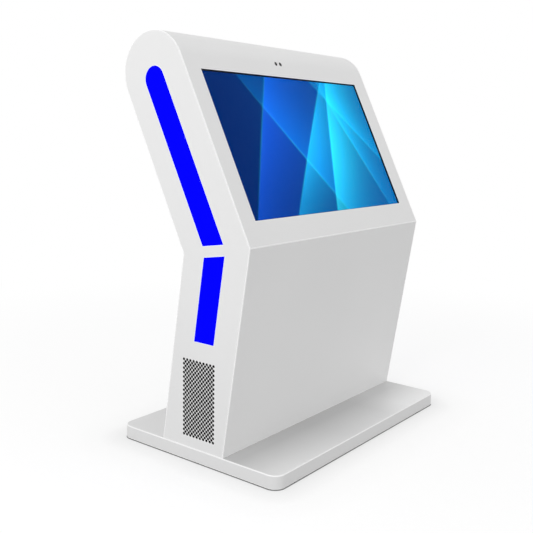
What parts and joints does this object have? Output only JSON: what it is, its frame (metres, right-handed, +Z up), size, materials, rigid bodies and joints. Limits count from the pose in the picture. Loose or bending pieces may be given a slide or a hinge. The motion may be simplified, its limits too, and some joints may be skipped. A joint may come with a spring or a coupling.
{
  "type": "outdoor interactive kiosk",
  "caption": "Free-standing sheet-steel information kiosk with a leaning touch display, lit side strips, punched side vents, a rear service door and a wide foot plate.",
  "frame": {"origin": "on the floor under the middle of the foot plate", "axes": "+Z up, the display faces -Y, +X to the right of someone who looks at the display"},
  "size_m": [1.1, 0.72, 1.4472],
  "materials": {
    "shell_paint": "fine-textured white powder coat",
    "base_paint": "fine-textured white powder coat",
    "zinc_steel": "galvanised",
    "fasteners": "zinc plated",
    "rubber": "matt",
    "gland_plastic": "moulded",
    "cover_glass": "polished, toughened",
    "clamp_paint": "matt black",
    "display": "lit picture behind a smooth sheet",
    "display_steel": "plain zinc-coated sheet",
    "sensor": "circuit board",
    "sensor_glass": "dark, glossy",
    "blue_diffuser": "lit, even blue",
    "channel_paint": "white",
    "led": "circuit strip with diodes",
    "tray_steel": "matt black",
    "filter": "open foam",
    "fan_plastic": "moulded",
    "heatsink": "satin",
    "case_plastic": "moulded",
    "hinge_steel": "satin",
    "lock_zinc": "satin chrome"
  },
  "bodies": {
    "housing": {"base_plate": "base_paint", "base_channels": "zinc_steel", "foot_pads": "rubber", "anchor_sleeves": "zinc_steel", "cable_gland": "gland_plastic", "cabinet_floor": "zinc_steel", "floor_bolts": "fasteners", "left_side_panel": "shell_paint", "right_side_panel": "shell_paint", "front_panel": "shell_paint", "head_shell": "shell_paint", "waist_strip": "shell_paint", "back_cover": "shell_paint", "back_cover_screws": "fasteners", "door_surround": "shell_paint", "left_upright": "zinc_steel", "right_upright": "zinc_steel", "cross_rails": "zinc_steel", "display_rails": "zinc_steel", "equipment_rails": "zinc_steel", "cover_glass": "cover_glass", "glass_gasket": "rubber", "glass_clamp_frame": "clamp_paint", "clamp_studs": "fasteners", "display_module": "display", "display_chassis": "display_steel", "driver_box": "display_steel", "camera_board": "sensor", "sensor_windows": "sensor_glass", "left_diffusers": "blue_diffuser", "right_diffusers": "blue_diffuser", "left_light_channels": "channel_paint", "right_light_channels": "channel_paint", "left_led_strips": "led", "right_led_strips": "led", "left_filter_tray": "tray_steel", "right_filter_tray": "tray_steel", "left_filter_pad": "filter", "right_filter_pad": "filter", "left_fan_frame": "fan_plastic", "right_fan_frame": "fan_plastic", "equipment_plate": "zinc_steel", "computer": "heatsink", "power_supply": "heatsink", "light_controller": "case_plastic", "din_rail": "zinc_steel", "terminal_block": "case_plastic", "circuit_breaker": "case_plastic", "power_switch_box": "case_plastic", "hinges_fixed": "hinge_steel", "hinge_pins": "hinge_steel"},
    "door": {"service_door": "shell_paint", "door_seal": "rubber", "lock_barrels": "lock_zinc"},
    "upper_lock_plug": {"upper_lock": "lock_zinc"},
    "lower_lock_plug": {"lower_lock": "lock_zinc"},
    "left_fan": {"left_fan_rotor": "fan_plastic"},
    "right_fan": {"right_fan_rotor": "fan_plastic"},
    "breaker_toggle": {"breaker_lever": "case_plastic"},
    "switch_rocker": {"power_switch_rocker": "case_plastic"}
  },
  "joints": [
    {"name": "door_hinge", "type": "hinge", "parent": "housing", "child": "door", "pos_m": [0.5185, 0.04237, 0.80746], "axis": [0, 0.1444, -0.9895], "range_deg": [0, 105]},
    {"name": "upper_lock_turn", "type": "hinge", "parent": "door", "child": "upper_lock_plug", "pos_m": [-0.487, 0.06971, 0.57641], "axis": [0, 0.9895, 0.1444], "range_deg": [0, 90]},
    {"name": "lower_lock_turn", "type": "hinge", "parent": "door", "child": "lower_lock_plug", "pos_m": [-0.487, 0.12456, 0.20038], "axis": [0, 0.9895, 0.1444], "range_deg": [0, 90]},
    {"name": "left_fan_spin", "type": "hinge", "parent": "housing", "child": "left_fan", "pos_m": [-0.52, -0.0207, 0.2265], "axis": [1, 0, 0], "continuous": true},
    {"name": "right_fan_spin", "type": "hinge", "parent": "housing", "child": "right_fan", "pos_m": [0.52, -0.0207, 0.2265], "axis": [1, 0, 0], "continuous": true},
    {"name": "breaker_toggle_swing", "type": "hinge", "parent": "housing", "child": "breaker_toggle", "pos_m": [-0.253, -0.08304, 0.32177], "axis": [1, 0, 0], "range_deg": [0, 70]},
    {"name": "switch_rocker_tilt", "type": "hinge", "parent": "housing", "child": "switch_rocker", "pos_m": [0.24, -0.10296, 0.31634], "axis": [1, 0, 0], "range_deg": [-10, 10]}
  ]
}
